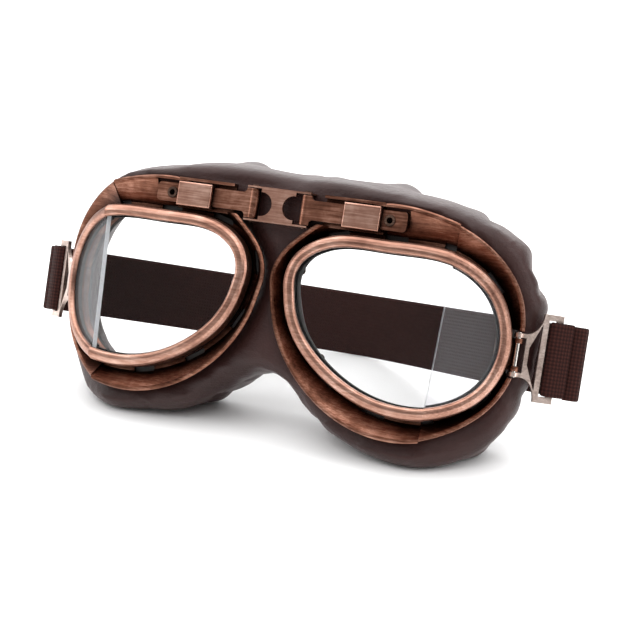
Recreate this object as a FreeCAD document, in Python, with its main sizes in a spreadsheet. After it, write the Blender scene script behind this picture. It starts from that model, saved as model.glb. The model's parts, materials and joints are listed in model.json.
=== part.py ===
import FreeCAD, Part
import math
import os

# Motorcycle goggles with split folded lenses, a hinged nose bridge, a padded mask and an elastic strap.
#
# Everything is drawn in an upright face frame: X across the face (the wearer's left is +X), Y from the
# bezels' crest plane back towards the head, Z up.  Each eye is drawn flat and then folded back along a
# crease near the temple.  At the end every piece leans back and drops onto the ground plane Z = 0.

os.makedirs("parts", exist_ok=True)
doc = FreeCAD.newDocument("goggles")
V = FreeCAD.Vector
UP = V(0, 0, 1)
ACROSS = V(1, 0, 0)
BACK = V(0, 1, 0)

SIZES = {
    # stance
    "lean_angle": 21, "ground_z": -59.4, "stand_back": 37.855, "fold_angle": 31.7,
    "crease_u": 66.9, "crease_tilt": 2.4,
    # bezel, lens, gasket and frame depths, from the bezel's crest
    "bezel_lip": 1.6, "bezel_skirt": 5.2, "bezel_face": 4.4, "bezel_wall": 1.1,
    "bezel_round": 2.4, "bezel_nose": 1.2,
    "lens_front": 1.7, "lens_thick": 2.0, "lens_inset": 1.7, "lens_joint": 0.12,
    "gasket_front": 3.75, "gasket_thick": 1.4, "gasket_inset": 4.75,
    "rim_front": 2.6, "dish_floor": 7.6, "sheet_thick": 1.0, "rim_bead": 1.6, "bead_round": 0.5,
    "seat_inset": 0.3, "floor_ledge": 1.3, "aperture_inset": 3.2,
    "vent_length": 8.4, "vent_width": 1.8, "vent_count": 11, "vent_shift": 0.95,
    "clamp_front": 8.7, "clamp_thick": 1.4, "clamp_inset": 3.2, "clamp_outset": 2.6,
    "screw_radius": 1.7, "screw_hole": 1.0, "screw_head": 0.8, "screw_inset": 1.75,
    # nose bridge
    "pin_x": 10.2, "pin_y": 4.9, "pin_radius": 0.8, "pin_gap": 0.05, "barrel_radius": 2.0,
    "bridge_top": 33.0, "bridge_foot": 22.0, "bridge_gap": 0.3, "flange_thick": 0.6,
    "link_half": 6.7, "link_front": 2.5, "link_thick": 1.2, "link_reach": 12.3, "link_depth": 5.0,
    "notch_radius": 4.2, "notch_offset": 6.3,
    "arm_front": 3.0, "arm_thick": 1.2, "arm_end": 48.5, "arm_low": 24.3, "arm_high": 31.1,
    "arm_round": 1.4, "tee_end": 12.6,
    "sleeve_start": 25.7, "sleeve_end": 39.2, "sleeve_low": 23.4, "sleeve_high": 31.9, "sleeve_front": 0.9,
    "sleeve_round": 0.5, "sleeve_wall": 0.75,
    "relief_low": 23.1, "relief_high": 32.2, "relief_end": 49.2,
    "ear_start": 17.6, "ear_end": 40.0, "ear_top": 33.5, "ear_low": 22.7,
    "rivet_x": 42.3, "rivet_head": 1.9, "rivet_hole": 1.1,
    # buckle and its hinge pin at the temple
    "hinge_u": 94.6, "hinge_y": 4.0, "knuckle_radius": 1.6, "buckle_mid": -10.4, "buckle_thick": 1.4,
    "prong_out": 7.3, "prong_in": 5.9, "web_u": 97.2, "flare_u": 102.4, "ear_u": 109.0, "buckle_half": 14.9,
    "slot_start": 104.1, "slot_end": 106.8, "slot_half": 12.8, "window_u": 98.6, "window_end": 102.2,
    "window_near": 2.9, "window_far": 11.3, "knuckle_in": 3.9, "lug_start": 88.0, "gap_half": 8.1,
    "gap_start": 92.5,
    # strap and its sliding adjuster
    "strap_width": 25, "strap_thick": 1.5, "strap_gap": 0.3, "loop_end": 112.0,
    "glide_half": 15.2, "glide_width": 15.0, "glide_bar": 2.2, "glide_thick": 1.2, "glide_gap": 0.45,
    "glide_x": 37.0,
    # padded mask
    "pad_front": 7.5, "pad_back": 38.0, "pad_seat": 11.0, "pad_crown": 3.0, "pad_opening": 0.6,
    "pad_pocket": 0.4, "pad_flare": 9, "flare_in": 4.5, "flare_up": 3.2,
    "cup_near": 0.5, "cup_far": 0.88, "cup_start": 12.0, "cup_end": 50.0,
}

sheet = doc.addObject("Spreadsheet::Sheet", "sizes")
for row, (alias, value) in enumerate(SIZES.items(), start=1):
    sheet.set(f"A{row}", alias)
    sheet.set(f"B{row}", str(value))
    sheet.setAlias(f"B{row}", alias)
doc.recompute()


def size(alias):
    """A driving dimension, read back from the sheet."""
    return float(sheet.get(alias))


FINISHED = {}


# ---------------------------------------------------------------- small building blocks

def feature(name, shape):
    """A plain feature that holds a shape worked out from the sheet."""
    item = doc.addObject("Part::Feature", name)
    item.Shape = shape
    return item


def box(name, corner, length, width, height):
    """A block with its sizes as expressions, and its low corner in the face frame."""
    item = doc.addObject("Part::Box", name)
    item.setExpression("Length", length)
    item.setExpression("Width", width)
    item.setExpression("Height", height)
    item.Placement.Base = V(*corner)
    return item


def cylinder(name, centre, radius, height, axis):
    """A cylinder with bound sizes, starting at centre and running along axis."""
    item = doc.addObject("Part::Cylinder", name)
    item.setExpression("Radius", radius)
    item.setExpression("Height", height)
    item.Placement = FreeCAD.Placement(V(*centre), FreeCAD.Rotation(UP, axis))
    return item


def cut(name, base, *tools):
    """base with every tool taken away."""
    for step, tool in enumerate(tools):
        item = doc.addObject("Part::Cut", f"{name}_cut{step}")
        item.Base = base
        item.Tool = tool
        item.Refine = False
        base = item
    return base


def fuse(name, *pieces):
    """One solid of several pieces."""
    item = doc.addObject("Part::MultiFuse", name + "_fuse")
    item.Shapes = list(pieces)
    item.Refine = False
    return item


def common(name, first, second):
    """What two pieces share."""
    item = doc.addObject("Part::Common", name + "_common")
    item.Base = first
    item.Tool = second
    item.Refine = False
    return item


def extruded(name, wire_feature, depth, direction=BACK):
    """A closed outline pushed along direction, by an expression."""
    item = doc.addObject("Part::Extrusion", name)
    item.Base = wire_feature
    item.DirMode = "Custom"
    item.Dir = direction
    item.Solid = True
    item.setExpression("LengthFwd", depth)
    return item


def lean(piece):
    """Leans a finished piece back and stands it on the ground."""
    angle = size("lean_angle")
    turn = FreeCAD.Rotation(ACROSS, -angle)
    ground = V(0, -size("stand_back"), -size("ground_z") * math.cos(math.radians(angle)))
    piece.Placement = FreeCAD.Placement(ground, turn).multiply(piece.Placement)


def finish(node, piece):
    """Names a sub-part and keeps it for export."""
    piece.Label = node
    FINISHED[node] = piece


def pair(node, piece):
    """The left sub-part as drawn, and the right one as its mirror image, which follows how the left leans."""
    other = doc.addObject("Part::Mirroring", node + "_mirror")
    other.Source = piece
    other.Normal = ACROSS
    finish("left_" + node, piece)
    finish("right_" + node, other)


# ---------------------------------------------------------------- closed outlines

def spline(points, depth):
    """A smooth closed curve through (across, up) points on the plane Y = depth."""
    curve = Part.BSplineCurve()
    curve.interpolate(Points=[V(a, depth, b) for a, b in points], PeriodicFlag=True)
    return curve


def inset(curve, distance, depth, count=40):
    """The curve moved inwards by distance, on the plane Y = depth."""
    first, last = curve.FirstParameter, curve.LastParameter
    moved = []
    for step in range(count):
        u = first + (last - first) * step / count
        place = curve.value(u)
        along = V(*curve.tangent(u)[0])
        inward = V(along.z, 0, -along.x)
        moved.append((place.x + inward.x * distance, place.z + inward.z * distance))
    return spline(moved, depth)


def face(curve):
    """The flat face inside a closed curve."""
    return Part.Face(Part.Wire([curve.toShape()]))


def plate(name, curve, distance, front, depth):
    """A plate inside the curve moved in by distance, from front to front + depth (an expression)."""
    outline = feature(name + "_outline", face(inset(curve, distance, front)))
    return extruded(name, outline, depth)


def tapered(name, sections):
    """A solid between outlines at several depths, with straight walls."""
    wires = [Part.Wire([curve.toShape()]) for curve in sections]
    return feature(name, Part.makeLoft(wires, True, True))


# Each outline runs anticlockwise as the wearer sees it, from the nose over the brow to the temple.
BEZEL = [(7.4, 0), (11, 13.2), (23.1, 20.1), (43, 21.2), (65.6, 20.5), (84.4, 11), (92, -6.4), (86, -25.8),
         (62.6, -37.1), (39.3, -34.6), (19.3, -22.7)]
RIM = [(1.5, 0), (3.2, 10.5), (10.2, 18.7), (23, 28), (39, 33.2), (58, 32), (80.2, 23.6), (93.6, 8.8), (96, -8.5),
       (90.5, -26.6), (72.4, -41.2), (51, -45.7), (27, -38.6), (8.5, -20.4)]
PAD_HALF = [(0, 41.2), (20, 41.2), (38, 40.6), (53, 38.6), (68, 35), (80.5, 28), (88.3, 18.5), (92.6, 8), (93.4, -4),
            (91.8, -18), (89, -29), (85, -38.5), (77, -47.3), (64, -53), (50, -53.6), (36, -51), (24, -45), (14, -37.5),
            (7, -32.5), (0, -30.4)]

bezel_line = spline(BEZEL, 0)
rim_line = spline(RIM, 0)


# ---------------------------------------------------------------- the fold

def crease_frame(share):
    """The crease's direction, with the flat eye turned back by a share of the fold."""
    tilt = FreeCAD.Rotation(BACK, size("crease_tilt"))
    return tilt.multiply(FreeCAD.Rotation(UP, size("fold_angle") * share))


CREASE = V(size("crease_u"), 0, 0)
CREASE_AXIS = FreeCAD.Rotation(BACK, size("crease_tilt")).multVec(UP)
FOLD = FreeCAD.Placement(V(0, 0, 0), FreeCAD.Rotation(CREASE_AXIS, size("fold_angle")), CREASE)
REACH = 150


def half_space(name, outward):
    """A large block on one side of the plane that halves the fold's angle."""
    block = doc.addObject("Part::Box", name)
    block.Length = REACH
    block.Width = 2 * REACH
    block.Height = 2 * REACH
    turn = crease_frame(0.5)
    low = V(0 if outward else -REACH, -REACH, -REACH)
    block.Placement = FreeCAD.Placement(CREASE + turn.multVec(low), turn)
    return block


FRONT_SIDE = half_space("front_side", False)
TEMPLE_SIDE = half_space("temple_side", True)


def turned(name, flat):
    """A copy of a flat piece, turned back about the crease."""
    copy = doc.addObject("Part::Compound", name + "_turned")
    copy.Links = [flat]
    copy.Placement = FOLD
    return copy


def folded(name, flat):
    """A flat piece bent along the crease, with a mitred corner."""
    front = common(name + "_front", flat, FRONT_SIDE)
    side = common(name + "_side", turned(name, flat), TEMPLE_SIDE)
    return fuse(name, front, side)


# ---------------------------------------------------------------- each eye

def rounded(name, base, radius, wanted):
    """Rounds the edges for which wanted(edge) holds."""
    doc.recompute()
    edges = [index for index, edge in enumerate(base.Shape.Edges, start=1) if wanted(edge)]
    item = doc.addObject("Part::Fillet", name + "_round")
    item.Base = base
    item.Edges = [(index, radius, radius) for index in edges]
    return item


def on_front(depth):
    """Picks the closed edges that lie on the plane Y = depth."""
    return lambda edge: abs(edge.BoundBox.YMin - depth) < 0.01 and abs(edge.BoundBox.YMax - depth) < 0.01


def quarter_round(curve, radius, start, sign, steps=4):
    """Outlines that round a front edge: the inset grows or shrinks by radius while the depth grows by it."""
    rings = []
    for step in range(steps + 1):
        angle = math.pi / 2 * step / steps
        shift = start + sign * radius * (1 - math.sin(angle))
        rings.append(inset(curve, shift, radius * (1 - math.cos(angle))))
    return rings


def bezel():
    """The lens rim: a rounded face with a skirt that stands on the frame."""
    skirt, wall, face_, lip = size("bezel_skirt"), size("bezel_wall"), size("bezel_face"), size("bezel_lip")
    outer = tapered("bezel_cap", quarter_round(bezel_line, size("bezel_round"), 0, 1) + [inset(bezel_line, 0, skirt)])
    mouth = [inset(bezel_line, face_ - size("bezel_nose"), -1)]
    mouth += quarter_round(bezel_line, size("bezel_nose"), face_, -1) + [inset(bezel_line, face_, lip + 1)]
    window = tapered("bezel_window", mouth)
    hollow = tapered("bezel_hollow", [inset(bezel_line, wall, lip), inset(bezel_line, wall, skirt + 1)])
    return folded("bezel", cut("bezel", outer, window, hollow))


def lenses():
    """Two flat panes that meet at the crease."""
    flat = plate("lens", bezel_line, size("lens_inset"), size("lens_front"), "<<sizes>>.lens_thick")
    gap = size("lens_joint")
    halves = []
    for name, side, base in (("front_lens", FRONT_SIDE, flat), ("side_lens", TEMPLE_SIDE, turned("lens", flat))):
        shifted = doc.addObject("Part::Compound", name + "_limit")
        shifted.Links = [side]
        away = crease_frame(0.5).multVec(ACROSS)
        shifted.Placement.Base = away * (gap if side is TEMPLE_SIDE else -gap)
        halves.append((name, common(name, base, shifted)))
    return halves


def gasket():
    """The rubber ring that the panes press on."""
    outer = plate("gasket_outer", bezel_line, size("lens_inset"), size("gasket_front"), "<<sizes>>.gasket_thick")
    inner = plate("gasket_inner", bezel_line, size("gasket_inset"), 0, "2 * <<sizes>>.bezel_skirt")
    return folded("gasket", cut("gasket", outer, inner))


def vents():
    """Rectangular air slots in the dish, spread along the bezel."""
    path = inset(bezel_line, -size("vent_shift"), 0)
    count = int(size("vent_count"))
    slots = []
    for step in range(count):
        u = path.FirstParameter + (path.LastParameter - path.FirstParameter) * (step + 0.35) / count
        place = path.value(u)
        along = V(*path.tangent(u)[0])
        angle = math.degrees(math.atan2(-along.z, along.x))
        slot = box(f"vent{step}", (0, 0, 0), "<<sizes>>.vent_length", "6", "<<sizes>>.vent_width")
        turn = FreeCAD.Rotation(BACK, angle)
        middle = V(-size("vent_length") / 2, 0, -size("vent_width") / 2)
        slot.Placement = FreeCAD.Placement(V(place.x, 5.6, place.z) + turn.multVec(middle), turn)
        slots.append(slot)
    group = doc.addObject("Part::Compound", "vents")
    group.Links = slots
    return group


def frame():
    """The stamped frame: a dish that rises from the bezel's seat to a beaded rim."""
    front, floor, thick = size("rim_front"), size("dish_floor"), size("sheet_thick")
    ledge = size("floor_ledge")
    back = floor + thick
    bead, round_ = size("rim_bead"), size("bead_round")
    shell = tapered("dish_shell", [inset(rim_line, round_, front), inset(rim_line, 0, front + round_),
                                   inset(rim_line, 0, front + thick), inset(bezel_line, -ledge - thick, back)])
    cavity = tapered("dish_cavity", [inset(rim_line, bead - round_, front - 1), inset(rim_line, bead - round_, front),
                                     inset(rim_line, bead, front + round_), inset(bezel_line, -ledge, floor)])
    seat = plate("dish_seat", bezel_line, size("seat_inset"), size("bezel_skirt"),
                 "<<sizes>>.dish_floor + <<sizes>>.sheet_thick - <<sizes>>.bezel_skirt")
    window = plate("dish_window", bezel_line, size("aperture_inset"), 0, "3 * <<sizes>>.bezel_skirt")
    gap_low = size("buckle_mid") - size("gap_half")
    gap = box("lug_gap", (size("gap_start"), 0, gap_low), "20", "20", "2 * <<sizes>>.gap_half")
    dish = cut("dish", shell, cavity, window, vents(), gap)
    plate_y, lip_y = size("arm_front") + size("arm_thick") + 0.4, front
    ear = box("ear_plate", (size("ear_start"), plate_y, size("ear_low")), "<<sizes>>.ear_end - <<sizes>>.ear_start",
              "<<sizes>>.sheet_thick", "<<sizes>>.ear_top - <<sizes>>.ear_low")
    lip = box("ear_lip", (size("ear_start"), lip_y, size("ear_top") - thick),
              "<<sizes>>.ear_end - <<sizes>>.ear_start", f"{plate_y + thick - lip_y}", "<<sizes>>.sheet_thick")
    relief = box("arm_relief", (size("pin_x"), 0, size("relief_low")), "<<sizes>>.relief_end - <<sizes>>.pin_x",
                 f"{plate_y - 0.02}", "<<sizes>>.relief_high - <<sizes>>.relief_low")
    body = fuse("tray", cut("dish_relief", dish, relief), cut("seat", seat, window))
    tray = cut("tray_drilled", body, *screw_bodies("tray_hole", 0.05))
    return folded("frame", fuse("frame_flat", fuse("tray_ear", tray, ear, lip), *lug()))


def lug():
    """The strap lug: a tongue from the frame with two knuckles for the buckle's pin."""
    mid, inner, reach = size("buckle_mid"), size("knuckle_in"), size("prong_in")
    u, y, front = size("hinge_u"), size("hinge_y"), size("bezel_skirt") + 0.05
    tongue = box("lug_tongue", (size("lug_start"), front, mid - reach + 0.4),
                 "<<sizes>>.hinge_u - <<sizes>>.lug_start", "1.2", "2 * <<sizes>>.prong_in - 0.8")
    root = box("lug_root", (size("lug_start"), front, mid - reach + 0.4), "3", "3.3",
               "2 * <<sizes>>.prong_in - 0.8")
    knuckles = []
    for name, low in (("lug_low", mid - reach + 0.4), ("lug_high", mid + inner)):
        barrel = cylinder(name, (u, y, low), "<<sizes>>.knuckle_radius",
                          "<<sizes>>.prong_in - <<sizes>>.knuckle_in - 0.4", UP)
        knuckles.append(barrel)
    hole = cylinder("lug_hole", (u, y, mid - 20), "<<sizes>>.pin_radius + <<sizes>>.pin_gap", "40", UP)
    return [cut("lug", fuse("lug_body", tongue, root, *knuckles), hole)]


def clamp():
    """The black ring behind the frame that holds the mask, with its screw holes."""
    outer = plate("clamp_outer", bezel_line, -size("clamp_outset"), size("clamp_front"), "<<sizes>>.clamp_thick")
    inner = plate("clamp_inner", bezel_line, size("clamp_inset"), 0, "3 * <<sizes>>.bezel_skirt")
    return folded("clamp", cut("clamp", outer, inner, *screw_bodies("clamp_hole", 0.05)))


def screw_places():
    """Places along the clamp ring, on the flat front part of the eye."""
    path = inset(bezel_line, size("screw_inset"), 0)
    shares = (0.03, 0.25, 0.71, 0.88)
    span = path.LastParameter - path.FirstParameter
    return [path.value(path.FirstParameter + span * share) for share in shares]


def screw_bodies(name, extra):
    """The screws' shanks, grown by extra."""
    return [cylinder(f"{name}{step}", (place.x, size("bezel_skirt") + 1.2, place.z),
                     f"<<sizes>>.screw_hole + {extra}", "6", BACK)
            for step, place in enumerate(screw_places())]


def screws():
    """Round-headed screws from behind, one solid each."""
    pieces = []
    for step, place in enumerate(screw_places()):
        back = size("clamp_front") + size("clamp_thick")
        front = size("dish_floor") + size("sheet_thick") - 1.2
        shank = cylinder(f"shank{step}", (place.x, front, place.z), "<<sizes>>.screw_hole", f"{back - front + 0.1}", BACK)
        head = cylinder(f"head{step}", (place.x, back, place.z), "<<sizes>>.screw_radius", "<<sizes>>.screw_head",
                        BACK)
        pieces.append(fuse(f"screw{step}", shank, head))
    group = doc.addObject("Part::Compound", "screws")
    group.Links = pieces
    return group


# ---------------------------------------------------------------- the nose bridge

def arm():
    """The bridge arm: a strip with a tee end curled round the hinge pin."""
    low, high = size("arm_low"), size("arm_high")
    strip = box("arm_strip", (size("pin_x"), size("arm_front"), low), "<<sizes>>.arm_end - <<sizes>>.pin_x",
                "<<sizes>>.arm_thick", "<<sizes>>.arm_high - <<sizes>>.arm_low")
    gap, foot = size("bridge_gap"), size("bridge_foot")
    tee = box("arm_tee", (size("pin_x"), size("arm_front"), foot + gap), "<<sizes>>.tee_end - <<sizes>>.pin_x",
              "<<sizes>>.arm_thick", "<<sizes>>.bridge_top - <<sizes>>.bridge_foot - 2 * <<sizes>>.bridge_gap")
    barrel = cylinder("arm_barrel", (size("pin_x"), size("pin_y"), foot + gap), "<<sizes>>.barrel_radius",
                      "<<sizes>>.bridge_top - <<sizes>>.bridge_foot - 2 * <<sizes>>.bridge_gap", UP)
    hole = cylinder("arm_bore", (size("pin_x"), size("pin_y"), 0), "<<sizes>>.pin_radius + <<sizes>>.pin_gap", "60", UP)
    shank = cylinder("arm_rivet_hole", (size("rivet_x"), 0, (low + high) / 2), "<<sizes>>.rivet_hole + 0.45", "20", BACK)
    body = cut("arm", fuse("arm_body", strip, tee, barrel), hole, shank)
    end = size("arm_end")
    corner = size("tee_end")

    def upright(edge):
        box_ = edge.BoundBox
        flat = box_.XLength < 0.01 and box_.ZLength < 0.01
        inner = abs(box_.XMin - corner) < 0.01 and low - 0.1 < box_.ZMin < high + 0.1
        return flat and (abs(box_.XMin - end) < 0.01 or inner)

    return rounded("arm", body, size("arm_round"), upright)


def sleeve():
    """The channel that holds the arm on the frame."""
    low, high, front = size("sleeve_low"), size("sleeve_high"), size("sleeve_front")
    back = size("arm_front") + size("arm_thick") + 0.35
    wall = size("sleeve_wall")
    block = box("sleeve_block", (size("sleeve_start"), front, low), "<<sizes>>.sleeve_end - <<sizes>>.sleeve_start",
                f"{back - front}", "<<sizes>>.sleeve_high - <<sizes>>.sleeve_low")
    channel = box("sleeve_channel", (0, front + 1.3, low + wall), "60", "10", f"{high - low - 2 * wall}")
    body = cut("sleeve", block, channel)
    return rounded("sleeve", body, size("sleeve_round"), on_front(front))


def rivet():
    """A tubular rivet through the arm."""
    middle = (size("arm_low") + size("arm_high")) / 2
    x, front = size("rivet_x"), size("arm_front")
    head = cylinder("rivet_head", (x, front - 0.35, middle), "<<sizes>>.rivet_head", "0.35", BACK)
    shank = cylinder("rivet_shank", (x, front - 0.3, middle), "<<sizes>>.rivet_hole + 0.4",
                     "<<sizes>>.arm_thick + 0.6", BACK)
    hole = cylinder("rivet_bore", (x, front - 1, middle), "<<sizes>>.rivet_hole", "5", BACK)
    return cut("rivet", fuse("rivet_body", head, shank), hole)


def link():
    """The centre link: an H-shaped plate with a flange above and below that carry both pins."""
    foot, top, thick = size("bridge_foot"), size("bridge_top"), size("flange_thick")
    middle = (foot + top) / 2
    web = box("link_web", (-size("link_half"), size("link_front"), foot - thick), "2 * <<sizes>>.link_half",
              "<<sizes>>.link_thick", "<<sizes>>.bridge_top - <<sizes>>.bridge_foot + 2 * <<sizes>>.flange_thick")
    flanges = []
    for name, low in (("link_low", foot - thick), ("link_high", top)):
        flange = box(name, (-size("link_reach"), size("link_front"), low), "2 * <<sizes>>.link_reach",
                     "<<sizes>>.link_depth", "<<sizes>>.flange_thick")
        flanges.append(flange)
    cuts = []
    for side in (-1, 1):
        cuts.append(cylinder(f"link_notch{side + 1}", (side * size("notch_offset"), 0, middle),
                             "<<sizes>>.notch_radius", "20", BACK))
        cuts.append(cylinder(f"link_bore{side + 1}", (side * size("pin_x"), size("pin_y"), 0), "<<sizes>>.pin_radius",
                             "60", UP))
    return cut("link", fuse("link_body", web, *flanges), *cuts)


def hinge_pin():
    """One pin of the bridge, with a low head on the top flange."""
    foot, top, thick = size("bridge_foot"), size("bridge_top"), size("flange_thick")
    pin = cylinder("pin_shank", (size("pin_x"), size("pin_y"), foot - thick - 0.4), "<<sizes>>.pin_radius",
                   f"{top - foot + 2 * thick + 0.6}", UP)
    head = cylinder("pin_head", (size("pin_x"), size("pin_y"), top + thick), "<<sizes>>.pin_radius + 0.5", "0.5", UP)
    return fuse("hinge_pin", pin, head)


# ---------------------------------------------------------------- buckle and strap

def outline_face(points, depth):
    """A flat face inside straight sides, on the plane Y = depth."""
    corners = [V(a, depth, b) for a, b in points]
    return Part.Face(Part.makePolygon(corners + corners[:1]))


def buckle():
    """The flat buckle: prongs round the pin, a web, a flared window and the strap slot."""
    mid, half, thick = size("buckle_mid"), size("buckle_half"), size("buckle_thick")
    front = size("hinge_y") - thick / 2
    prong, web, flare, end = size("prong_out"), size("web_u"), size("flare_u"), size("ear_u")
    u = size("hinge_u")
    # the flare from the prongs to the ears is a hollow curve
    edge = []
    for step in range(9):
        share = step / 8
        edge.append((web - 0.6 + (flare - web + 0.6) * math.sin(share * math.pi / 2) ** 0.9,
                     prong + (half - prong) * (1 - math.cos(share * math.pi / 2))))
    upper = [(u, prong)] + edge + [(end, half)]
    points = [(a, mid + b) for a, b in upper] + [(a, mid - b) for a, b in reversed(upper)]
    body = extruded("buckle_plate", feature("buckle_outline", outline_face(points, front)), "<<sizes>>.buckle_thick")
    near, far, start, stop = size("window_near"), size("window_far"), size("window_u"), size("window_end")
    window = [(start, mid - near), (stop, mid - far), (stop, mid + far), (start, mid + near)]
    hole = extruded("buckle_window", feature("window_outline", outline_face(window, 0)), "20")
    slot = box("buckle_slot", (size("slot_start"), 0, mid - size("slot_half")), "<<sizes>>.slot_end - <<sizes>>.slot_start",
               "20", "2 * <<sizes>>.slot_half")
    mouth = box("buckle_mouth", (u - 10, 0, mid - size("prong_in")), "<<sizes>>.web_u - <<sizes>>.hinge_u + 10", "20",
                "2 * <<sizes>>.prong_in")
    rings = []
    for name, low in (("prong_low", mid - prong), ("prong_high", mid + size("prong_in"))):
        rings.append(cylinder(name, (u, size("hinge_y"), low), "<<sizes>>.knuckle_radius",
                              "<<sizes>>.prong_out - <<sizes>>.prong_in", UP))
    bore = cylinder("buckle_bore", (u, size("hinge_y"), mid - 20), "<<sizes>>.pin_radius + <<sizes>>.pin_gap", "40", UP)
    shape = cut("buckle", cut("buckle_blank", body, hole, slot, mouth))
    return cut("buckle_whole", fuse("buckle_ringed", shape, *rings), bore)


def buckle_pin():
    """The steel pin through the lug and the buckle's prongs."""
    low = size("buckle_mid") - size("prong_out") - 0.3
    return cylinder("buckle_pin", (size("hinge_u"), size("hinge_y"), low), "<<sizes>>.pin_radius",
                    "2 * <<sizes>>.prong_out + 0.6", UP)


def strap_loop():
    """The strap's end, folded round the buckle's outer bar and sewn to itself."""
    thick, gap = size("strap_thick"), size("strap_gap")
    mid_y = size("hinge_y")
    inner = size("buckle_thick") / 2 + gap
    outer = inner + thick
    bar, end = size("slot_end"), size("loop_end")
    low = size("buckle_mid") - size("strap_width") / 2
    loop = box("loop_body", (bar - gap - thick, mid_y - outer, low), f"{end - bar + gap + thick}", f"{2 * outer}",
               "<<sizes>>.strap_width")
    core = box("loop_core", (bar - gap, mid_y - inner, low - 5), f"{size('ear_u') - bar + 2 * gap}", f"{2 * inner}",
               "2 * <<sizes>>.strap_width")
    return cut("strap_loop", loop, core)


def side_by_side(points, thick, low):
    """A thin upright band of a given thickness along a plan curve, starting at the height low."""
    curve = Part.BSplineCurve()
    curve.interpolate([V(a, b, low) for a, b in points])
    count = 80
    edges = {-1: [], 1: []}
    for step in range(count + 1):
        u = curve.FirstParameter + (curve.LastParameter - curve.FirstParameter) * step / count
        place, along = curve.value(u), V(*curve.tangent(u)[0])
        for side in edges:
            edges[side].append(place + V(-along.y, along.x, 0) * (side * thick / 2))
    sides = []
    for side in edges:
        run = Part.BSplineCurve()
        run.interpolate(edges[side])
        sides.append(run.toShape())
    ends = [Part.LineSegment(edges[-1][k], edges[1][k]).toShape() for k in (0, -1)]
    return Part.Face(Part.Wire(Part.__sortEdges__(sides + ends)))


def strap_line():
    """The strap's middle line in plan, from the left buckle round the back to the right one."""
    tip = FOLD.multVec(V(size("loop_end") + 0.6, size("hinge_y"), 0))
    half = [(tip.x, tip.y), (107.3, 29.3), (107.3, 32.6), (103.4, 35.4), (80, 50.5), (48, 71.5), (22, 87.6), (0, 94.3)]
    return half + [(-a, b) for a, b in reversed(half[:-1])]


def strap():
    """The elastic band from buckle to buckle, standing on its edge in a loop behind the mask."""
    low = size("buckle_mid") - size("strap_width") / 2
    band = feature("strap_plan", side_by_side(strap_line(), size("strap_thick"), low))
    return extruded("strap", band, "<<sizes>>.strap_width", UP)


def glide():
    """The sliding adjuster on the strap's back: two end bars behind it and a centre bar in front."""
    half, width, bar, thick = size("glide_half"), size("glide_width"), size("glide_bar"), size("glide_thick")
    mid, gap = size("buckle_mid"), size("glide_gap")
    deep = size("strap_thick") / 2 + gap
    pieces = []
    for name, start, front in (("glide_left", -width / 2, deep), ("glide_right", width / 2 - bar, deep),
                               ("glide_mid", -bar / 2, -deep - thick)):
        pieces.append(box(name, (start, front, mid - half), "<<sizes>>.glide_bar", "<<sizes>>.glide_thick",
                          "2 * <<sizes>>.glide_half"))
    rail = half - size("strap_width") / 2 - gap
    for name, low in (("glide_low", mid - half), ("glide_high", mid + half - rail)):
        pieces.append(box(name, (-width / 2, -deep - thick, low), "<<sizes>>.glide_width", f"{2 * (deep + thick)}",
                          f"{rail}"))
    whole = fuse("glide", *pieces)
    whole.Placement = glide_place()
    return whole


def glide_place():
    """Where the adjuster sits: square across the strap, at its own distance from the middle."""
    curve = Part.BSplineCurve()
    curve.interpolate([V(a, b, 0) for a, b in strap_line()])
    u = min((curve.FirstParameter + (curve.LastParameter - curve.FirstParameter) * step / 2000 for step in range(2001)),
            key=lambda t: abs(curve.value(t).x + size("glide_x")))
    along = V(*curve.tangent(u)[0])
    angle = math.degrees(math.atan2(-along.y, -along.x))
    return FreeCAD.Placement(curve.value(u), FreeCAD.Rotation(UP, angle))


# ---------------------------------------------------------------- the padded mask

def narrowed(curve, share, depth):
    """The curve with its part beyond the crease squeezed by share, on the plane Y = depth."""
    first, span, crease = curve.FirstParameter, curve.LastParameter - curve.FirstParameter, size("crease_u")
    places = [curve.value(first + span * step / 40) for step in range(40)]
    return spline([(min(p.x, crease) + max(p.x - crease, 0) * share, p.z) for p in places], depth)


def eye_cups():
    """The room behind each lens, which runs straight back and widens on every side."""
    near = narrowed(inset(bezel_line, size("pad_opening"), 0), size("cup_near"), size("cup_start"))
    far = narrowed(inset(bezel_line, -size("pad_flare"), 0), size("cup_far"), size("cup_end"))
    far.translate(V(-size("flare_in"), 0, size("flare_up")))
    left = tapered("eye_cup", [near, far])
    right = doc.addObject("Part::Mirroring", "eye_cup_mirror")
    right.Source = left
    right.Normal = ACROSS
    return left, right


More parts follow.
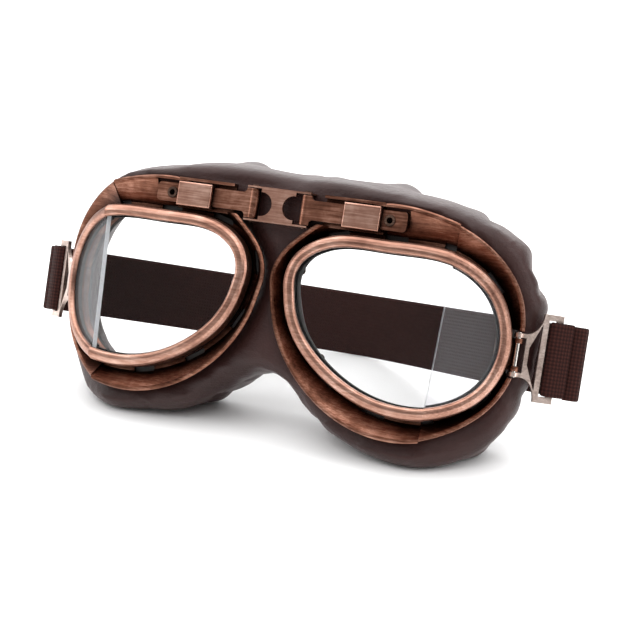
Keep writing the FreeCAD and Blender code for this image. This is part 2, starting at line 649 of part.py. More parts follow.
def mask():
    """The padded mask: a crowned body with two eye openings, flattened where it stands."""
    outline = PAD_HALF + [(-a, b) for a, b in reversed(PAD_HALF[1:-1])]
    line = spline(outline, 0)
    front, back, crown = size("pad_front"), size("pad_back"), size("pad_crown")
    body = tapered("mask_body", [inset(line, crown, front, 72), inset(line, 0, front + 9, 72),
                                 inset(line, 0, back - 9, 72), inset(line, crown, back, 72)])
    near = inset(bezel_line, size("pad_opening"), -REACH / 2)
    middle = inset(bezel_line, size("pad_opening"), size("pad_seat"))
    far = inset(bezel_line, -size("pad_flare"), back + 12)
    far.translate(V(-size("flare_in"), 0, size("flare_up")))
    opening = tapered("mask_opening", [near, middle, far])
    clearance = box("mask_clearance", (-REACH, -REACH, -REACH), f"{3 * REACH}", f"{REACH + front}", f"{2 * REACH}")
    pocket = plate("mask_pocket", rim_line, size("pad_pocket"), 0, "<<sizes>>.pad_seat")
    left = folded("mask_tool", fuse("mask_flat_tool", clearance, opening, pocket))
    right = doc.addObject("Part::Mirroring", "mask_tool_mirror")
    right.Source = left
    right.Normal = ACROSS
    ground = box("mask_ground", (-REACH, -REACH, -REACH), f"{2 * REACH}", f"{2 * REACH}", f"{REACH}")
    turn = FreeCAD.Rotation(ACROSS, size("lean_angle"))
    ground.Placement = FreeCAD.Placement(V(0, 0, size("ground_z")) + turn.multVec(V(-REACH, -REACH, -REACH)), turn)
    return cut("mask", body, left, right, *eye_cups(), ground)


# ---------------------------------------------------------------- the whole

pair("frame", frame())
pair("bezel", bezel())
for lens_name, lens in lenses():
    pair(lens_name, lens)
pair("gasket", gasket())
pair("pad_clamp", clamp())
pair("clamp_screws", screws())
pair("bridge_arm", arm())
pair("arm_sleeve", sleeve())
pair("arm_rivet", rivet())
pair("bridge_pin", hinge_pin())
pair("buckle", turned("buckle", buckle()))
pair("buckle_pin", turned("buckle_pin", buckle_pin()))
pair("strap_end", turned("strap_end", strap_loop()))
finish("bridge_link", link())
finish("head_strap", strap())
finish("strap_adjuster", glide())
finish("face_pad", mask())

for piece in FINISHED.values():
    if piece.TypeId != "Part::Mirroring":
        lean(piece)
doc.recompute()

faults = [item.Name for item in doc.Objects if "Invalid" in item.State or "Error" in item.State]
for node, piece in FINISHED.items():
    if piece.Shape.isNull() or not piece.Shape.isValid():
        faults.append(node)
if faults:
    raise RuntimeError("These objects did not build: " + ", ".join(faults))
for node, piece in FINISHED.items():
    piece.Shape.exportStep(f"parts/{node}.step")
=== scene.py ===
import json
import math

import bmesh
import bpy
import numpy as np
from mathutils import Matrix, Vector, noise
from mathutils.bvhtree import BVHTree


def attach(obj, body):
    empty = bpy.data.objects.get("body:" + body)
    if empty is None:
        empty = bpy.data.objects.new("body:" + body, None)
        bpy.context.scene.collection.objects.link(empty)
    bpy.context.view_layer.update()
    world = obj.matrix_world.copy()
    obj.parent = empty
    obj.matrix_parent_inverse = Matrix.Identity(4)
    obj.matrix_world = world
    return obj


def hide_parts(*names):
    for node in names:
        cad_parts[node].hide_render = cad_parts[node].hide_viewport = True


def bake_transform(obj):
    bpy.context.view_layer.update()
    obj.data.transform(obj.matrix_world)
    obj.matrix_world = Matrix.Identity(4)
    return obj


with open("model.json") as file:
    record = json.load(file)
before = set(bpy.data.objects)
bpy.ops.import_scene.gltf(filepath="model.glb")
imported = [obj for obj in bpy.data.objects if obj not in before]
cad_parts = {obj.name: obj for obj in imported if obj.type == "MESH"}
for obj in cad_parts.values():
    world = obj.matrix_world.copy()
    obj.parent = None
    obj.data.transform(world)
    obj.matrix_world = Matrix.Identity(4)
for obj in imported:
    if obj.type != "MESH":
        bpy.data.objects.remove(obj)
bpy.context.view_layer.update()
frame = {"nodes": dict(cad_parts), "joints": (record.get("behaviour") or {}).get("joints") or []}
NODES = frame["nodes"]
SIDES = (("left", 1), ("right", -1))
MM = 0.001

# ------------------------------------------------------------------ places, worked out from the frame
# The goggles are drawn upright in millimetres, as in the CAD: X across, Y back from the bezels' crest, Z up.
JOINTS = {joint["name"]: joint for joint in frame["joints"]}
HINGE = JOINTS["left_bridge_hinge"]
HINGE_UPRIGHT = Vector((10.2, 4.9, 27.5))
LEAN = math.atan2(HINGE["axis"][1], HINGE["axis"][2])
TURN = Matrix.Rotation(-LEAN, 3, "X")
SHIFT = Vector(HINGE["pos_m"]) - TURN @ (HINGE_UPRIGHT * MM)


def row(point):
    """A point of the upright frame, in millimetres, as a place in the row frame."""
    return TURN @ (Vector(point) * MM) + SHIFT


def upright(point):
    """A place in the row frame, as millimetres of the upright frame."""
    return TURN.transposed() @ (Vector(point) - SHIFT) / MM


STAND = Matrix.Translation(SHIFT) @ TURN.to_4x4() @ Matrix.Scale(MM, 4)

# ------------------------------------------------------------------ the temple's fold, as in the CAD
CREASE_U = 66.9
CREASE_TILT = math.radians(2.4)
FOLD_ANGLE = math.radians(31.7)
CREASE_AXIS = Vector((math.sin(CREASE_TILT), 0, math.cos(CREASE_TILT)))
CREASE_AT = Vector((CREASE_U, 0, 0))
FOLD = (Matrix.Translation(CREASE_AT) @ Matrix.Rotation(FOLD_ANGLE, 4, CREASE_AXIS)
        @ Matrix.Translation(-CREASE_AT))


def run_through(points, spacing):
    """Points about a spacing apart on a smooth line through the given ones, and their distances along it."""
    p = np.array(points, float)
    knots = np.concatenate([[0], np.cumsum(np.linalg.norm(np.diff(p, axis=0), axis=1))])
    step = np.diff(knots)
    size = len(p)
    matrix = np.zeros((size, size))
    right = np.zeros(p.shape)
    matrix[0, 0] = matrix[-1, -1] = 1
    for k in range(1, size - 1):
        matrix[k, k - 1:k + 2] = step[k - 1], 2 * (step[k - 1] + step[k]), step[k]
        right[k] = 6 * ((p[k + 1] - p[k]) / step[k] - (p[k] - p[k - 1]) / step[k - 1])
    bend = np.linalg.solve(matrix, right)
    out = []
    for t in np.linspace(0, knots[-1], int(knots[-1] / spacing) + 1):
        k = min(int(np.searchsorted(knots, t, "right")) - 1, size - 2)
        left, rest = t - knots[k], knots[k + 1] - t
        out.append((bend[k] * rest ** 3 + bend[k + 1] * left ** 3) / (6 * step[k])
                   + (p[k] / step[k] - bend[k] * step[k] / 6) * rest
                   + (p[k + 1] / step[k] - bend[k + 1] * step[k] / 6) * left)
    line = np.array(out)
    return line, np.concatenate([[0], np.cumsum(np.linalg.norm(np.diff(line, axis=0), axis=1))])


# ------------------------------------------------------------------ mesh helpers
def new_object(name, mesh):
    piece = bpy.data.objects.new(name, mesh)
    bpy.context.scene.collection.objects.link(piece)
    return piece


def stand_mesh(name, bm, sign):
    """Turns a mesh in upright millimetres into an object in the row frame; sign -1 mirrors it."""
    if sign < 0:
        bmesh.ops.transform(bm, matrix=Matrix.Diagonal((-1, 1, 1, 1)), verts=bm.verts[:])
        bmesh.ops.reverse_faces(bm, faces=bm.faces[:])
    bmesh.ops.transform(bm, matrix=STAND, verts=bm.verts[:])
    mesh = bpy.data.meshes.new(name)
    bm.to_mesh(mesh)
    bm.free()
    return new_object(name, mesh)


def smooth(piece, angle):
    """Smooth shading that keeps edges sharper than angle."""
    mesh = piece.data
    mesh.shade_smooth()
    mesh.set_sharp_from_angle(angle=math.radians(angle))


def paint(piece, material):
    piece.data.materials.clear()
    piece.data.materials.append(material)


# ------------------------------------------------------------------ materials
def material(name):
    made = bpy.data.materials.new(name)
    made.use_nodes = True
    tree = made.node_tree
    return made, tree, tree.nodes["Principled BSDF"]


def node(tree, kind, **inputs):
    """A new node; an input's name uses _ for a space."""
    made = tree.nodes.new(kind)
    for key, value in inputs.items():
        made.inputs[key.replace("_", " ")].default_value = value
    return made


def ramp(tree, source, stops):
    made = tree.nodes.new("ShaderNodeValToRGB")
    made.color_ramp.elements.remove(made.color_ramp.elements[1])
    for index, (place, colour) in enumerate(stops):
        stop = made.color_ramp.elements[0] if index == 0 else made.color_ramp.elements.new(place)
        stop.position = place
        stop.color = (*colour, 1)
    tree.links.new(source, made.inputs["Fac"])
    return made.outputs["Color"]


def mapped(tree, scale):
    """Object coordinates stretched by scale."""
    coords = tree.nodes.new("ShaderNodeTexCoord")
    mapping = tree.nodes.new("ShaderNodeMapping")
    mapping.inputs["Scale"].default_value = scale
    tree.links.new(coords.outputs["Object"], mapping.inputs["Vector"])
    return mapping.outputs["Vector"]


def cloudy(tree, scale, detail=4.0, rough=0.6):
    """Noise over object coordinates stretched by scale."""
    made = node(tree, "ShaderNodeTexNoise", Scale=1.0, Detail=detail, Roughness=rough)
    tree.links.new(mapped(tree, scale), made.inputs["Vector"])
    return made.outputs["Fac"]


def multiply(tree, first, second):
    """The product of two colours."""
    made = tree.nodes.new("ShaderNodeMix")
    made.data_type = "RGBA"
    made.blend_type = "MULTIPLY"
    made.inputs[0].default_value = 1.0
    tree.links.new(first, made.inputs[6])
    tree.links.new(second, made.inputs[7])
    return made.outputs[2]


def math_node(tree, operation, first, second=0.0):
    made = tree.nodes.new("ShaderNodeMath")
    made.operation = operation
    for socket, value in zip(made.inputs, (first, second)):
        if isinstance(value, bpy.types.NodeSocket):
            tree.links.new(value, socket)
        else:
            socket.default_value = value
    return made.outputs[0]


def bump(tree, shader, height, strength, distance):
    made = node(tree, "ShaderNodeBump", Strength=strength, Distance=distance)
    tree.links.new(height, made.inputs["Height"])
    tree.links.new(made.outputs["Normal"], shader.inputs["Normal"])


def weighted(tree, first, first_share, second, second_share):
    """The sum of two values, each times its share."""
    return math_node(tree, "ADD", math_node(tree, "MULTIPLY", first, first_share),
                     math_node(tree, "MULTIPLY", second, second_share))


LINE_SHARE = 0.45               # the brush lines' part in the metals' tone; the cloudy patina is the rest
LINE_ROUGHNESS = 0.22           # how much the brush lines vary the roughness


def brushed_metal(name, dark, middle, bright, rough, recess=0.0):
    """Antique metal: fine brush lines along X, cloudy patina and painted shade that darkens the recesses."""
    made, tree, shader = material(name)
    lines = cloudy(tree, (60, 1600, 1600), 3.0, 0.7)
    clouds = cloudy(tree, (90, 90, 90), 5.0, 0.6)
    tone = weighted(tree, lines, LINE_SHARE, clouds, 1 - LINE_SHARE)
    colour = ramp(tree, tone, [(0.33, dark), (0.5, middle), (0.68, bright)])
    if recess > 0:
        # painted shade: ambient occlusion darkens the metal's colour in recesses and between parts
        shade = node(tree, "ShaderNodeAmbientOcclusion", Distance=recess)
        shade.samples = 6
        painted_shade = ramp(tree, shade.outputs["AO"], [(0.42, (0.06, 0.038, 0.03)), (0.86, (1, 1, 1))])
        colour = multiply(tree, colour, painted_shade)
    tree.links.new(colour, shader.inputs["Base Color"])
    shader.inputs["Metallic"].default_value = 1.0
    streaks = math_node(tree, "MULTIPLY", lines, LINE_ROUGHNESS)
    roughness = math_node(tree, "ADD", streaks, rough - LINE_ROUGHNESS / 2)
    tree.links.new(roughness, shader.inputs["Roughness"])
    bump(tree, shader, lines, 0.25, 0.00004)
    return made


DEEP_SHADE_REACH, FINE_SHADE_REACH = 0.009, 0.002         # metres that the painted shade reaches out of a recess
COPPER = brushed_metal("copper", (0.055, 0.021, 0.013), (0.21, 0.090, 0.058), (0.52, 0.28, 0.20), 0.38,
                       DEEP_SHADE_REACH)
BEZEL_COPPER = brushed_metal("bezel_copper", (0.20, 0.093, 0.066), (0.41, 0.215, 0.157), (0.68, 0.44, 0.35),
                             0.33, FINE_SHADE_REACH)
BUCKLE_METAL = brushed_metal("buckle_metal", (0.34, 0.25, 0.21), (0.62, 0.49, 0.43), (0.88, 0.75, 0.68), 0.34,
                             FINE_SHADE_REACH)
DARK_METAL = brushed_metal("dark_metal", (0.03, 0.02, 0.016), (0.10, 0.06, 0.045), (0.22, 0.14, 0.10), 0.45)
PIN_METAL = brushed_metal("pin_metal", (0.45, 0.41, 0.37), (0.70, 0.66, 0.62), (0.92, 0.90, 0.86), 0.2)


def rubber(name, colour, rough):
    made, tree, shader = material(name)
    grain = cloudy(tree, (900, 900, 900), 3.0)
    tree.links.new(ramp(tree, grain, [(0.3, [c * 0.6 for c in colour]), (0.7, [c * 1.4 for c in colour])]),
                   shader.inputs["Base Color"])
    shader.inputs["Roughness"].default_value = rough
    bump(tree, shader, grain, 0.4, 0.0002)
    return made


GASKET_RUBBER = rubber("gasket_rubber", (0.012, 0.011, 0.011), 0.7)
CLAMP_BLACK = rubber("clamp_black", (0.018, 0.015, 0.014), 0.55)


def glass(name, tint, clear):
    made, _, shader = material(name)
    shader.inputs["Base Color"].default_value = (*tint, 1)
    shader.inputs["Roughness"].default_value = 0.0
    shader.inputs["IOR"].default_value = 1.2
    shader.inputs["Transmission Weight"].default_value = clear
    return made


LENS = glass("lens", (0.985, 0.99, 0.99), 1.0)
SIDE_LENS = glass("side_lens", (0.93, 0.93, 0.95), 0.965)


def ground_edge():
    """The pale ground edge where two panes meet."""
    made, tree, shader = material("ground_edge")
    grain = cloudy(tree, (2500, 2500, 2500), 2.0)
    colour = ramp(tree, grain, [(0.3, (0.72, 0.74, 0.78)), (0.7, (0.95, 0.96, 0.98))])
    tree.links.new(colour, shader.inputs["Base Color"])
    shader.inputs["Roughness"].default_value = 0.35
    return made


GROUND_EDGE = ground_edge()


SQUARE_ON = 0.995               # a face this square to the joint's direction is on the joint
JOINT_REACH = 0.5               # when it is also this close to the joint's plane, in millimetres


def frost_joint(pane, sign):
    """Gives a pane's faces on the fold's middle plane the look of a ground edge."""
    flat_across = Vector((math.cos(CREASE_TILT), 0, -math.sin(CREASE_TILT)))
    across = Matrix.Rotation(FOLD_ANGLE / 2, 3, CREASE_AXIS) @ flat_across
    pane.data.materials.append(GROUND_EDGE)
    for polygon in pane.data.polygons:
        normal = TURN.transposed() @ polygon.normal
        if abs(Vector((normal.x * sign, normal.y, normal.z)).dot(across)) > SQUARE_ON:
            spot = upright(polygon.center)
            if abs((Vector((spot.x * sign, spot.y, spot.z)) - CREASE_AT).dot(across)) < JOINT_REACH:
                polygon.material_index = 1


GRAIN_SHARE = 0.12              # the grain's height beside the creases


def leather():
    """Soft matt imitation leather: fine grain, creases and a pale sheen."""
    made, tree, shader = material("pad_leather")
    grain = node(tree, "ShaderNodeTexVoronoi", Scale=1.0)
    tree.links.new(mapped(tree, (1500, 1500, 1500)), grain.inputs["Vector"])
    folds = cloudy(tree, (120, 120, 260), 6.0, 0.65)
    clouds = cloudy(tree, (45, 45, 45), 4.0)
    colour = ramp(tree, clouds, [(0.3, (0.024, 0.0088, 0.0076)), (0.7, (0.039, 0.0152, 0.0134))])
    tree.links.new(colour, shader.inputs["Base Color"])
    shader.inputs["Roughness"].default_value = 0.42
    shader.inputs["Specular IOR Level"].default_value = 0.28
    shader.inputs["Sheen Weight"].default_value = 0.20
    shader.inputs["Sheen Roughness"].default_value = 0.25
    shader.inputs["Sheen Tint"].default_value = (0.8, 0.66, 0.64, 1)
    low_grain = math_node(tree, "MULTIPLY", grain.outputs["Distance"], GRAIN_SHARE)
    height = math_node(tree, "ADD", low_grain, folds)
    bump(tree, shader, height, 0.35, 0.0012)
    return made


PAD_LEATHER = leather()


RIB_PITCH, ROW_PITCH = 1.05, 1.25               # millimetres from rib to rib, and from stitch row to row
WEAVE_SHARE = 0.8               # the weave's part in the webbing's height; loose fibres are the rest


def webbing():
    """Woven elastic: ribs along the strap crossed by rows of stitches, laid out on the strap's own UVs."""
    made, tree, shader = material("strap_webbing")
    uv = tree.nodes.new("ShaderNodeUVMap")
    split = tree.nodes.new("ShaderNodeSeparateXYZ")
    tree.links.new(uv.outputs["UV"], split.inputs["Vector"])
    # UV is in millimetres: X along the strap, Y across it
    along = math_node(tree, "SINE", math_node(tree, "MULTIPLY", split.outputs["X"], 2 * math.pi / RIB_PITCH))
    across = math_node(tree, "SINE", math_node(tree, "MULTIPLY", split.outputs["Y"], 2 * math.pi / ROW_PITCH))
    weave = math_node(tree, "ADD", weighted(tree, along, 0.25, across, 0.25), 0.5)
    fibres = cloudy(tree, (1500, 1500, 4000), 3.0)
    height = weighted(tree, weave, WEAVE_SHARE, fibres, 1 - WEAVE_SHARE)
    colour = ramp(tree, height, [(0.2, (0.014, 0.0036, 0.0028)), (0.55, (0.026, 0.0068, 0.0050)),
                                 (0.85, (0.042, 0.0125, 0.0095))])
    tree.links.new(colour, shader.inputs["Base Color"])
    shader.inputs["Roughness"].default_value = 0.75
    shader.inputs["Specular IOR Level"].default_value = 0.12
    bump(tree, shader, height, 0.7, 0.0004)
    return made


WEBBING = webbing()

CAD_LOOKS = {
    "frame": COPPER, "bezel": BEZEL_COPPER, "bridge_arm": COPPER, "arm_sleeve": BEZEL_COPPER,
    "arm_rivet": DARK_METAL, "bridge_pin": DARK_METAL, "clamp_screws": DARK_METAL,
    "buckle": BUCKLE_METAL, "buckle_pin": PIN_METAL, "gasket": GASKET_RUBBER, "pad_clamp": CLAMP_BLACK,
    "front_lens": LENS, "side_lens": SIDE_LENS}
for node_name, look in CAD_LOOKS.items():
    for side, _ in SIDES:
        paint(NODES[f"{side}_{node_name}"], look)
for side, sign in SIDES:
    for pane in ("front_lens", "side_lens"):
        frost_joint(NODES[f"{side}_{pane}"], sign)
paint(NODES["bridge_link"], BEZEL_COPPER)
paint(NODES["strap_adjuster"], DARK_METAL)

# ------------------------------------------------------------------ the padded mask
PAD_VOXEL = 0.0023
PAD_RELAX = 14                  # rounds of smoothing, which soften the solid's edges
PAD_SWELL = 0.0028              # the furthest that a point swells
SWELL_FRAMES = 18
CLAMP_REACH = (0.0015, 0.007)   # held at the near distance from the clamping parts, free at the far one
FLOOR_REACH = (0.0008, 0.006)   # the same above the floor
FOLD_FREE = (0.0008, 0.004)     # and the same for the gathers, beside the clamping parts
FLOOR_GAP = 0.00005
# The mask's swells in millimetres: the pattern's start, its sizes, how far it rises and how far valleys sink.
GATHERS = ((0, 0, 0), (12, 70, 12), 4.6, 1.5)
NOSE_CREASES = ((40, 0, 9), (10, 22, 36), 1.6, 0.5)
UNEVEN = ((0, 30, 70), (30, 30, 30), 1.3, 0.4)
NOSE_X, NOSE_Z = 34, -12        # the nose's creases are inside this X and below this Z
TURN_X = 46                     # the mask's ends turn round a point near this X


def ease(value, low, high):
    """0 up to low, 1 from high, and smooth between them."""
    t = min(max((value - low) / (high - low), 0.0), 1.0)
    return t * t * (3 - 2 * t)


def bake(piece):
    """Applies a piece's modifiers."""
    view = bpy.context.evaluated_depsgraph_get()
    mesh = bpy.data.meshes.new_from_object(piece.evaluated_get(view))
    piece.modifiers.clear()
    old = piece.data
    piece.data = mesh
    bpy.data.meshes.remove(old)


def pad_base():
    """The mask's CAD solid as an even mesh with soft edges, ready to be filled."""
    source = NODES["face_pad"].data.copy()
    source.name = "pad_source"
    piece = new_object("pad_source", source)
    remesh = piece.modifiers.new("remesh", "REMESH")
    remesh.mode = "VOXEL"
    remesh.voxel_size = PAD_VOXEL
    relax = piece.modifiers.new("relax", "SMOOTH")
    relax.iterations = PAD_RELAX
    relax.factor = 0.5
    bake(piece)
    return piece


def hard_parts():
    """Search trees of what the mask is clamped between."""
    trees = []
    for side, _ in SIDES:
        for part in ("frame", "pad_clamp"):
            mesh = NODES[f"{side}_{part}"].data
            spots = [v.co for v in mesh.vertices]
            trees.append(BVHTree.FromPolygons(spots, [f.vertices for f in mesh.polygons]))
    return trees


def held_shares(piece):
    """How firmly each point is held: 1 where the frames clamp the mask and where it stands."""
    trees = hard_parts()
    shares = []
    for vert in piece.data.vertices:
        near = min(tree.find_nearest(vert.co)[3] for tree in trees)
        shares.append(max(1 - ease(near, *CLAMP_REACH), 1 - ease(vert.co.z, *FLOOR_REACH)))
    return np.array(shares)


def fill(piece, held):
    """Blows the mask up a little with a cloth simulation, with the clamped places held still."""
    group = piece.vertex_groups.new(name="held")
    for index, share in enumerate(held):
        group.add([index], float(share), "REPLACE")
    before = np.array([v.co for v in piece.data.vertices])
    modifier = piece.modifiers.new("cloth", "CLOTH")
    cloth = modifier.settings
    cloth.quality = 5
    cloth.mass = 0.3
    cloth.tension_stiffness = cloth.compression_stiffness = 12
    cloth.bending_stiffness = 0.4
    cloth.use_pressure = True
    cloth.uniform_pressure_force = 4
    cloth.vertex_group_mass = "held"
    cloth.effector_weights.gravity = 0
    scene = bpy.context.scene
    for step in range(1, SWELL_FRAMES + 1):
        scene.frame_set(step)
    shaped = piece.evaluated_get(bpy.context.evaluated_depsgraph_get()).data
    moved = np.array([v.co for v in shaped.vertices]) - before
    piece.modifiers.clear()
    scene.frame_set(1)
    length = np.linalg.norm(moved, axis=1)
    cap = PAD_SWELL * (1 - held)
    moved *= (np.minimum(length, cap) / np.maximum(length, 1e-9))[:, None]
    piece.data.vertices.foreach_set("co", (before + moved).ravel())
    piece.data.update()


def swell(place, kind):
    """How far a kind of swell stands out at a place: rounded, with sharp valleys between swells."""
    shift, sizes, rise, sink = kind
    spot = [(p + s) / size for p, s, size in zip(place, shift, sizes)]
    return 2 * abs(noise.noise(Vector(spot))) * rise - sink


def wrinkle(piece):
    """Gathers round the sewn rear edge, creases by the nose and a slight unevenness all over."""
    trees = hard_parts()
    spots = []
    for vert in piece.data.vertices:
        place = upright(vert.co)
        facing = TURN.transposed() @ vert.normal
        away = Vector((place.x - max(min(place.x, TURN_X), -TURN_X) * 0.9, 0, place.z + 6)).normalized()
        outer = ease(facing.dot(away), 0.1, 0.6)
        top = ease(place.z, -6, 26)
        rear = ease(place.y, 18, 35) * outer * (0.3 + 0.7 * top)
        nose = ease(NOSE_X - abs(place.x), 0, 16) * ease(NOSE_Z - place.z, 0, 12)
        nose *= ease(place.y, 9, 15) * outer
        lift = rear * swell(place, GATHERS) + nose * swell(place, NOSE_CREASES) + outer * swell(place, UNEVEN)
        free = ease(min(tree.find_nearest(vert.co)[3] for tree in trees), *FOLD_FREE)
        spots.append(vert.co + vert.normal * (lift * free * MM))
    for vert, spot in zip(piece.data.vertices, spots):
        vert.co = spot
        vert.co.z = max(vert.co.z, FLOOR_GAP)
    piece.data.update()


def make_mask():
    whole = pad_base()
    fill(whole, held_shares(whole))
    whole.modifiers.new("finer", "SUBSURF").levels = 1
    bake(whole)
    wrinkle(whole)
    settle = whole.modifiers.new("settle", "SMOOTH")
    settle.iterations = 2
    settle.factor = 0.5
    bake(whole)
    for side, sign in SIDES:
        bm = bmesh.new()
        bm.from_mesh(whole.data)
        everything = bm.verts[:] + bm.edges[:] + bm.faces[:]
        bmesh.ops.bisect_plane(bm, geom=everything, dist=1e-6, plane_co=(0, 0, 0), plane_no=(sign, 0, 0),
                               clear_inner=True)
        mesh = bpy.data.meshes.new(f"{side}_mask")
        bm.to_mesh(mesh)
        bm.free()
        half = new_object(f"{side}_mask", mesh)
        half.data.shade_smooth()
        paint(half, PAD_LEATHER)
        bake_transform(half)
        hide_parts("face_pad")
    bpy.data.objects.remove(whole)


make_mask()

# ------------------------------------------------------------------ the strap
# Millimetres of the upright frame.
STRAP_MID = -10.4               # the height of its middle line
STRAP_WIDTH = 25.0
STRAP_THICK = 1.5
STRAP_SPACING, TAB_SPACING = 1.0, 0.4
SEWN_END = 112.6                # the X of the sewn end's tip in the flat eye
SIDE_SHARE, MID_SHARE = 0.24, 0.80              # where half the strap is cut, as shares of its length
UNTWIST = 14                    # the strap leaves the buckle tilted by the fold, and is upright this far on
UP = Vector((0, 0, 1))


def strap_half():
    """The strap's middle line in plan from the left buckle to the middle of the back, in millimetres."""
    tip = FOLD @ Vector((SEWN_END, 4, STRAP_MID))
    points = [(tip.x, tip.y), (107.3, 29.3), (107.3, 32.6), (103.4, 35.4), (80, 50.5), (48, 71.5), (22, 87.6),
              (0, 94.3)]
    mirrored = points + [(-a, b) for a, b in reversed(points[:-1])]
    line, along = run_through(mirrored, STRAP_SPACING)
    half = along <= along[-1] / 2 + STRAP_SPACING / 2
    return line[half], along[half]


def strap_section():
    """The webbing's section, with rounded selvedges, as points (out, up)."""
    half_w, half_t = STRAP_WIDTH / 2, STRAP_THICK / 2
    flat = np.linspace(-half_w + half_t, half_w - half_t, 25)
    angles = np.radians((30, 60, 90, 120, 150))
    rim = [(half_t * math.cos(a), half_w - half_t + half_t * math.sin(a)) for a in angles]
    return [(half_t, z) for z in flat] + rim + [(-half_t, z) for z in flat[::-1]] + [(-a, -z) for a, z in rim]


def webbing_sweep(name, line, along, place, sign):
    """Webbing swept along a plan line, with UVs in millimetres; place(index, out, up) puts each point."""
    section = strap_section()
    count = len(section)
    bm = bmesh.new()
    uv = bm.loops.layers.uv.new("UVMap")
    verts = []
    for index in range(len(line)):
        before, after = line[max(index - 1, 0)], line[min(index + 1, len(line) - 1)]
        run = Vector((after[0] - before[0], after[1] - before[1], 0)).normalized()
        out = Vector((run.y, -run.x, 0))
        verts.append([bm.verts.new(place(index, out * thick, up)) for thick, up in section])
    for i in range(len(verts) - 1):
        for j in range(count):
            k = (j + 1) % count
            side_face = bm.faces.new((verts[i][j], verts[i][k], verts[i + 1][k], verts[i + 1][j]))
            for loop, (r, c) in zip(side_face.loops, ((i, j), (i, k), (i + 1, k), (i + 1, j))):
                loop[uv].uv = (along[r], section[c][1])
    bm.faces.new(verts[0])
    bm.faces.new(verts[-1][::-1])
    bmesh.ops.recalc_face_normals(bm, faces=bm.faces[:])
    piece = stand_mesh(name, bm, sign)
    smooth(piece, 50)
    paint(piece, WEBBING)
    return piece


def strap_piece(name, line, along, ups, sign):
    """A length of the strap, standing on its edge in the directions ups."""
    def place(index, out, up):
        return Vector((*line[index], STRAP_MID)) + out + ups[index] * up

    return webbing_sweep(name, line, along, place, sign)


def tab_line():
    """The webbing's path in the flat eye: out of the sewn end, round the buckle's bar and back."""
    points = [(SEWN_END + 0.4, 4.1), (111.2, 5.3), (109, 5.8), (107.2, 5.75), (106.0, 5.2), (105.55, 4.0),
              (106.0, 2.8), (107.2, 2.25), (109, 2.2), (111, 2.5), (112.4, 2.75)]
    return run_through(points, TAB_SPACING)


def make_strap():
    line, along = strap_half()
    total = along[-1]
    side_end = int(np.searchsorted(along, total * SIDE_SHARE))
    mid_end = int(np.searchsorted(along, total * MID_SHARE))
    tilt = (FOLD.to_3x3() @ UP).normalized()
    ups = [tilt.lerp(UP, ease(s, 0, UNTWIST)).normalized() for s in along]
    end_part = slice(0, side_end + 1)
    run_part = slice(side_end, mid_end + 1)
    upright_ups = [UP] * (2 * len(line))

    made = []
    for side, sign in SIDES:
        piece = strap_piece(f"{side}_strap_side", line[end_part], along[end_part], ups[end_part], sign)
        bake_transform(piece)
        made.append((piece, along[side_end], "stretched", [f"{side}_strap_tab"]))
        piece = strap_piece(f"{side}_strap_run", line[run_part], along[run_part], upright_ups, sign)
        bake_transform(piece)
        made.append((piece, along[mid_end] - along[side_end], "stretched", [f"{side}_strap_side"]))
        tab, length = strap_tab(side, sign)
        made.append((tab, length, "folded", [f"{side}_buckle"]))
    middle = np.concatenate([line[mid_end:], line[mid_end:-1][::-1] * np.array((-1, 1))])
    lengths = np.concatenate([along[mid_end:], 2 * total - along[mid_end:-1][::-1]])
    back = strap_piece("strap_back", middle, lengths, upright_ups, 1)
    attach(back, "root")
    made.append((back, 2 * (total - along[mid_end]), "stretched", [f"{side}_strap_run" for side, _ in SIDES]))
    for piece, length, held, holders in made:
        if held == "stretched":
            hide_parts("head_strap")


def strap_tab(side, sign):
    """The webbing's end round the buckle's bar, which turns with the buckle, and its length."""
    line, along = tab_line()

    def place(index, out, up):
        return FOLD @ (Vector((*line[index], STRAP_MID + up)) + out)

    piece = webbing_sweep(f"{side}_strap_tab", line, along, place, sign)
    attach(piece, f"{side}_buckle")
    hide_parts(f"{side}_strap_end")
    return piece, along[-1]


make_strap()

# ------------------------------------------------------------------ floor, light and camera
def make_stage():
    bm = bmesh.new()
    bmesh.ops.create_grid(bm, x_segments=1, y_segments=1, size=4)
    mesh = bpy.data.meshes.new("floor")
    bm.to_mesh(mesh)
    bm.free()
    floor = new_object("floor", mesh)
    made, _, shader = material("floor")
    shader.inputs["Base Color"].default_value = (0.93, 0.93, 0.93, 1)
    shader.inputs["Roughness"].default_value = 0.6
    floor.data.materials.append(made)


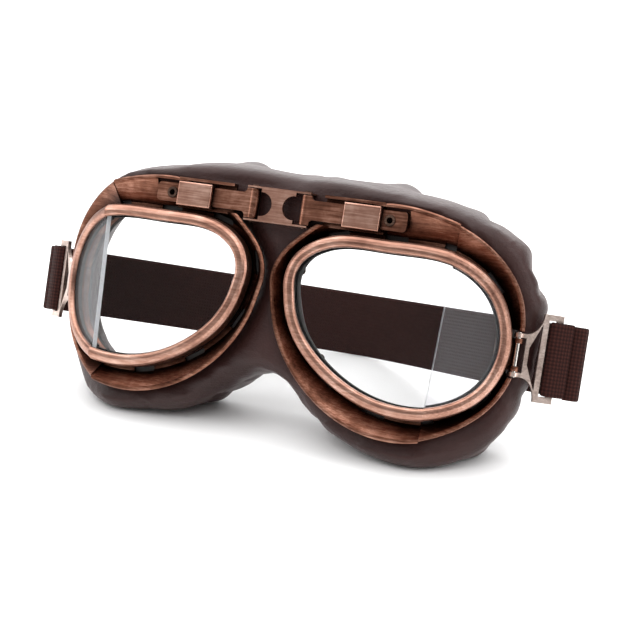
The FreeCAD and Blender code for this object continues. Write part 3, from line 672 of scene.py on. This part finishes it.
def area_light(name, place, target, size, power):
    lamp = bpy.data.lights.new(name, "AREA")
    lamp.shape = "RECTANGLE"
    lamp.size, lamp.size_y = size
    lamp.energy = power
    piece = bpy.data.objects.new(name, lamp)
    bpy.context.scene.collection.objects.link(piece)
    piece.location = place
    piece.rotation_euler = (Vector(target) - Vector(place)).to_track_quat("-Z", "Y").to_euler()


def make_lights():
    world = bpy.data.worlds.new("studio")
    bpy.context.scene.world = world
    world.use_nodes = True
    tree = world.node_tree
    # white all round, with a darker patch towards the room in front of the goggles
    coords = tree.nodes.new("ShaderNodeTexCoord")
    facing = tree.nodes.new("ShaderNodeVectorMath")
    facing.operation = "DOT_PRODUCT"
    facing.inputs[1].default_value = Vector((0.38, -0.88, 0.28)).normalized()
    tree.links.new(coords.outputs["Generated"], facing.inputs[0])
    shade = ramp(tree, facing.outputs["Value"], [(0.45, (1, 1, 1)), (0.95, (0.45, 0.43, 0.43))])
    tree.links.new(shade, tree.nodes["Background"].inputs["Color"])
    tree.nodes["Background"].inputs["Strength"].default_value = 0.5
    area_light("top_light", (0, 0.6, 3.0), (0, 0.6, 0), (7.0, 7.0), 330)
    area_light("left_light", (-1.0, -0.5, 0.45), (0, 0, 0.05), (0.5, 0.8), 4)
    area_light("right_light", (1.0, -0.1, 0.4), (0, 0, 0.05), (0.4, 0.8), 3)
    area_light("back_light", (-0.5, 2.2, 1.0), (0, 0, 0.05), (2.4, 1.2), 30)


# Places in millimetres of the upright frame; lengths of the lens and its picture in millimetres too.
CAMERA_AT = Vector((217.9, -442.8, 1.6))
CAMERA_AIM = Vector((25.33, -3.25, -8.92))
CAMERA_ROLL = math.radians(8.864)
LENS_LENGTH, PICTURE_WIDTH = 80.1, 36


def make_camera():
    data = bpy.data.cameras.new("camera")
    data.sensor_width = PICTURE_WIDTH
    data.lens = LENS_LENGTH
    data.clip_start = 0.01
    camera = bpy.data.objects.new("camera", data)
    bpy.context.scene.collection.objects.link(camera)
    aim = (CAMERA_AIM - CAMERA_AT).to_track_quat("-Z", "Y").to_matrix()
    turned = TURN @ aim @ Matrix.Rotation(CAMERA_ROLL, 3, "Z")
    camera.matrix_world = Matrix.Translation(row(CAMERA_AT)) @ turned.to_4x4()
    bpy.context.scene.camera = camera


make_stage()
make_lights()
make_camera()
bpy.context.scene.view_settings.view_transform = "Standard"
